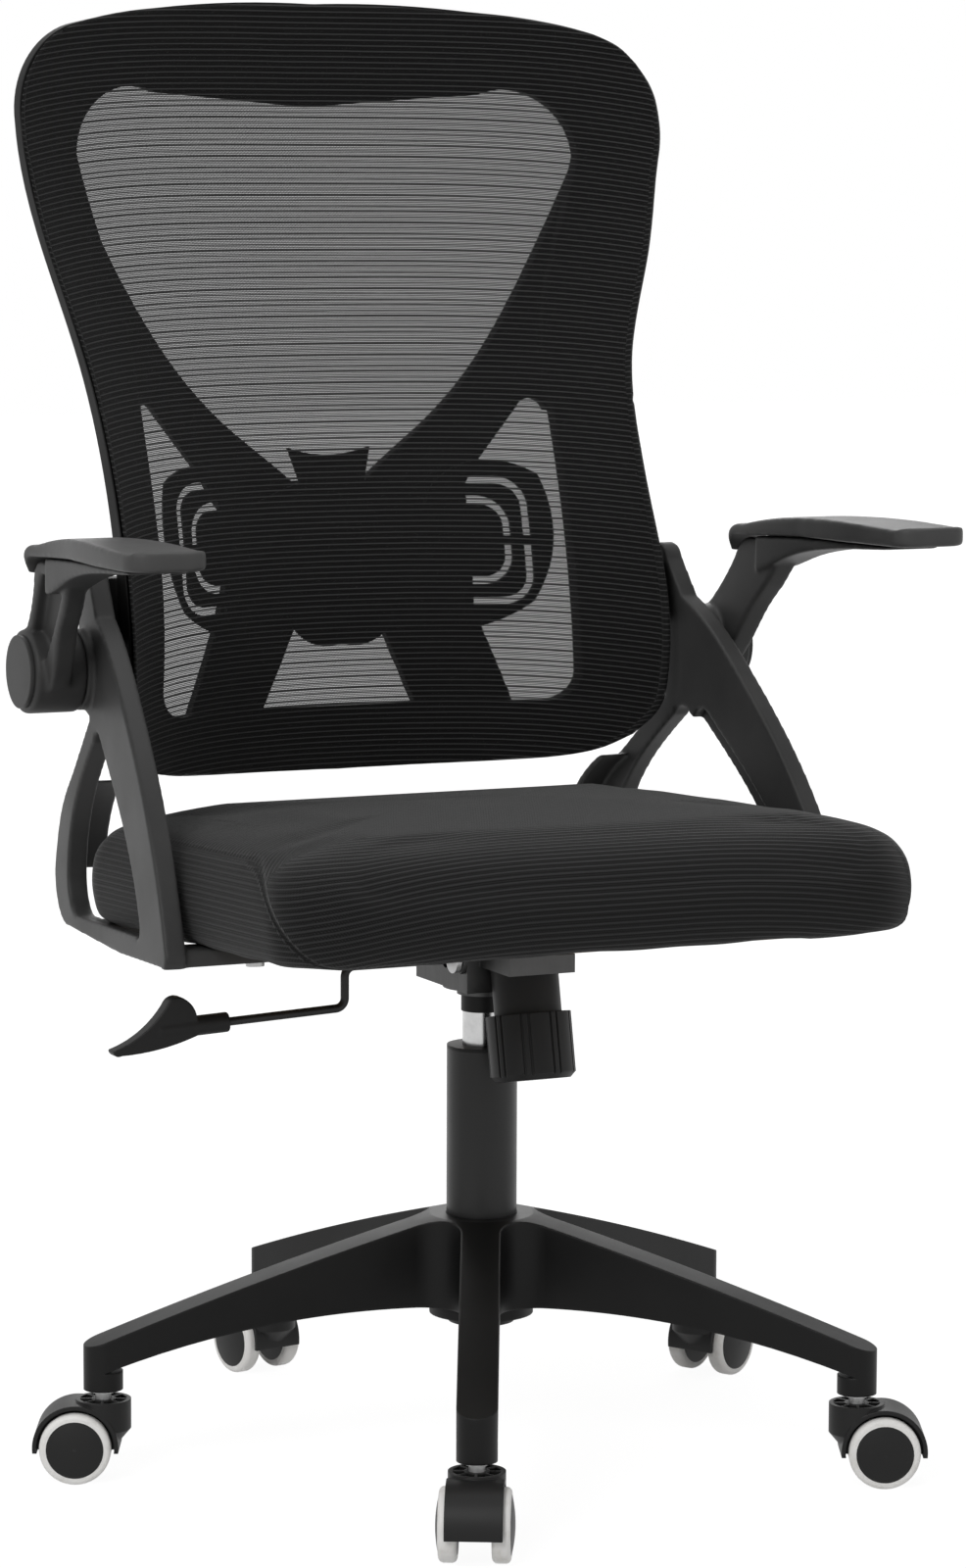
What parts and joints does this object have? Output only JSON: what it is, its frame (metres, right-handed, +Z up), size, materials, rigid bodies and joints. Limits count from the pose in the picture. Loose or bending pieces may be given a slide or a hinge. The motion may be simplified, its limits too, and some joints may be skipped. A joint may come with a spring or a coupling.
{
  "type": "office chair",
  "caption": "Swivel office chair with a curved mesh back and lumbar pad, flip-up arms on side frames, padded seat, height and tilt levers, gas column and castered star base.",
  "frame": {"origin": "on the floor, on the column's axis", "axes": "+Z up, the seat faces -Y, +X to the right as seen from the front"},
  "size_m": [0.6409, 0.625, 1.0297],
  "materials": {
    "base_plastic": "fine-grained satin black nylon",
    "plated_steel": "zinc plated",
    "column_paint": "satin black paint",
    "column_plastic": "black",
    "chrome": "polished chrome",
    "mechanism_steel": "pressed sheet steel, plated",
    "lever_black": "satin black",
    "control_plastic": "black, light grain",
    "seat_fabric": "ribbed black knit",
    "plywood": "plain plywood",
    "frame_plastic": "satin black nylon, worn edges",
    "pad_plastic": "soft black plastic",
    "back_plastic": "black",
    "mesh_fabric": "ribbed black mesh",
    "caster_plastic": "black",
    "wheel": "black disc with a white tread"
  },
  "bodies": {
    "base": {"base_star": "base_plastic", "caster_stems": "plated_steel", "caster_stem_rings": "plated_steel", "column_tube": "column_paint", "column_guide": "column_plastic", "thrust_bearing": "plated_steel"},
    "swivel": {"piston_rod": "plated_steel", "column_clip": "plated_steel"},
    "lift": {"gas_cylinder": "chrome", "dust_ring": "column_plastic", "mechanism_housing": "mechanism_steel", "tilt_pin": "plated_steel", "tension_sleeve": "control_plastic", "tension_bolt": "plated_steel", "tension_spring": "plated_steel"},
    "release": {"release_pin": "plated_steel"},
    "rocker": {"lever_rocker": "mechanism_steel"},
    "lever": {"lever_rod": "lever_black", "lever_handle": "control_plastic"},
    "tension": {"tension_knob": "control_plastic"},
    "seat": {"seat_cushion": "seat_fabric", "seat_board": "plywood", "seat_plate": "mechanism_steel", "plate_bolts": "plated_steel", "left_side_frame": "frame_plastic", "right_side_frame": "frame_plastic", "frame_bolts": "plated_steel", "arm_pins": "plated_steel", "back_frame": "back_plastic", "back_mesh": "mesh_fabric"},
    "lumbar": {"lumbar_pad": "back_plastic", "lumbar_slider": "back_plastic"},
    "left_arm": {"left_arm_support": "frame_plastic", "left_arm_pad": "pad_plastic", "left_pivot_cap": "frame_plastic"},
    "right_arm": {"right_arm_support": "frame_plastic", "right_arm_pad": "pad_plastic", "right_pivot_cap": "frame_plastic"},
    "caster_1": {"caster_1_hood": "caster_plastic", "caster_1_axle": "plated_steel"},
    "caster_1_wheel_left": {"caster_1_left_wheel": "wheel"},
    "caster_1_wheel_right": {"caster_1_right_wheel": "wheel"},
    "caster_2": {"caster_2_hood": "caster_plastic", "caster_2_axle": "plated_steel"},
    "caster_2_wheel_left": {"caster_2_left_wheel": "wheel"},
    "caster_2_wheel_right": {"caster_2_right_wheel": "wheel"},
    "caster_3": {"caster_3_hood": "caster_plastic", "caster_3_axle": "plated_steel"},
    "caster_3_wheel_left": {"caster_3_left_wheel": "wheel"},
    "caster_3_wheel_right": {"caster_3_right_wheel": "wheel"},
    "caster_4": {"caster_4_hood": "caster_plastic", "caster_4_axle": "plated_steel"},
    "caster_4_wheel_left": {"caster_4_left_wheel": "wheel"},
    "caster_4_wheel_right": {"caster_4_right_wheel": "wheel"},
    "caster_5": {"caster_5_hood": "caster_plastic", "caster_5_axle": "plated_steel"},
    "caster_5_wheel_left": {"caster_5_left_wheel": "wheel"},
    "caster_5_wheel_right": {"caster_5_right_wheel": "wheel"}
  },
  "joints": [
    {"name": "seat_swivel", "type": "hinge", "parent": "base", "child": "swivel", "pos_m": [0, 0, 0.1], "axis": [0, 0, 1], "continuous": true},
    {"name": "seat_lift", "type": "slide", "parent": "swivel", "child": "lift", "axis": [0, 0, 1], "range_m": [-0.016, 0.084]},
    {"name": "seat_tilt", "type": "hinge", "parent": "lift", "child": "seat", "pos_m": [0, -0.042, 0.3618], "axis": [-1, 0, 0], "range_deg": [0, 15], "stiffness_Nm_per_rad": 60, "springref_deg": -28.65},
    {"name": "lever_lift", "type": "hinge", "parent": "lift", "child": "rocker", "pos_m": [-0.022, -0.014, 0.3576], "axis": [0, 1, 0], "range_deg": [0, 3.5], "stiffness_Nm_per_rad": 6, "springref_deg": -6.88},
    {"name": "lever_pull", "type": "slide", "parent": "rocker", "child": "lever", "axis": [-1, 0, 0], "range_m": [0, 0.012]},
    {"name": "release_press", "type": "slide", "parent": "lift", "child": "release", "axis": [0, 0, -1], "range_m": [0, 0.0016]},
    {"name": "tension_turn", "type": "hinge", "parent": "lift", "child": "tension", "pos_m": [0, -0.0688, 0.3573], "axis": [0, 0.2079, 0.9781], "continuous": true},
    {"name": "lumbar_slide", "type": "slide", "parent": "seat", "child": "lumbar", "axis": [0, 0.21, 0.9777], "range_m": [-0.012, 0.012]},
    {"name": "left_arm_flip", "type": "hinge", "parent": "seat", "child": "left_arm", "pos_m": [-0.265, 0.163, 0.554], "axis": [-1, 0, 0], "range_deg": [0, 90]},
    {"name": "right_arm_flip", "type": "hinge", "parent": "seat", "child": "right_arm", "pos_m": [0.265, 0.163, 0.554], "axis": [-1, 0, 0], "range_deg": [0, 90]},
    {"name": "caster_1_swivel", "type": "hinge", "parent": "base", "child": "caster_1", "pos_m": [-0.11882, -0.24911, 0.05], "axis": [0, 0, 1], "continuous": true},
    {"name": "caster_1_left_spin", "type": "hinge", "parent": "caster_1", "child": "caster_1_wheel_left", "pos_m": [-0.12745, -0.26548, 0.025], "axis": [0.8846, -0.4664, 0], "continuous": true},
    {"name": "caster_1_right_spin", "type": "hinge", "parent": "caster_1", "child": "caster_1_wheel_right", "pos_m": [-0.12745, -0.26548, 0.025], "axis": [0.8846, -0.4664, 0], "continuous": true},
    {"name": "caster_2_swivel", "type": "hinge", "parent": "base", "child": "caster_2", "pos_m": [0.2002, -0.18999, 0.05], "axis": [0, 0, 1], "continuous": true},
    {"name": "caster_2_left_spin", "type": "hinge", "parent": "caster_2", "child": "caster_2_wheel_left", "pos_m": [0.217, -0.19775, 0.025], "axis": [0.4195, 0.9078, 0], "continuous": true},
    {"name": "caster_2_right_spin", "type": "hinge", "parent": "caster_2", "child": "caster_2_wheel_right", "pos_m": [0.217, -0.19775, 0.025], "axis": [0.4195, 0.9078, 0], "continuous": true},
    {"name": "caster_3_swivel", "type": "hinge", "parent": "base", "child": "caster_3", "pos_m": [0.24255, 0.1317, 0.05], "axis": [0, 0, 1], "continuous": true},
    {"name": "caster_3_left_spin", "type": "hinge", "parent": "caster_3", "child": "caster_3_wheel_left", "pos_m": [0.2587, 0.14072, 0.025], "axis": [-0.4879, 0.8729, 0], "continuous": true},
    {"name": "caster_3_right_spin", "type": "hinge", "parent": "caster_3", "child": "caster_3_wheel_right", "pos_m": [0.2587, 0.14072, 0.025], "axis": [-0.4879, 0.8729, 0], "continuous": true},
    {"name": "caster_4_swivel", "type": "hinge", "parent": "base", "child": "caster_4", "pos_m": [-0.0503, 0.27138, 0.05], "axis": [0, 0, 1], "continuous": true},
    {"name": "caster_4_left_spin", "type": "hinge", "parent": "caster_4", "child": "caster_4_wheel_left", "pos_m": [-0.05389, 0.28953, 0.025], "axis": [-0.981, -0.1942, 0], "continuous": true},
    {"name": "caster_4_right_spin", "type": "hinge", "parent": "caster_4", "child": "caster_4_wheel_right", "pos_m": [-0.05389, 0.28953, 0.025], "axis": [-0.981, -0.1942, 0], "continuous": true},
    {"name": "caster_5_swivel", "type": "hinge", "parent": "base", "child": "caster_5", "pos_m": [-0.27364, 0.03603, 0.05], "axis": [0, 0, 1], "continuous": true},
    {"name": "caster_5_left_spin", "type": "hinge", "parent": "caster_5", "child": "caster_5_wheel_left", "pos_m": [-0.29043, 0.04378, 0.025], "axis": [-0.4195, -0.9078, 0], "continuous": true},
    {"name": "caster_5_right_spin", "type": "hinge", "parent": "caster_5", "child": "caster_5_wheel_right", "pos_m": [-0.29043, 0.04378, 0.025], "axis": [-0.4195, -0.9078, 0], "continuous": true}
  ],
  "couplings": [
    {"joint": "release_press", "follows": "lever_lift", "m_per_rad": 0.022}
  ]
}
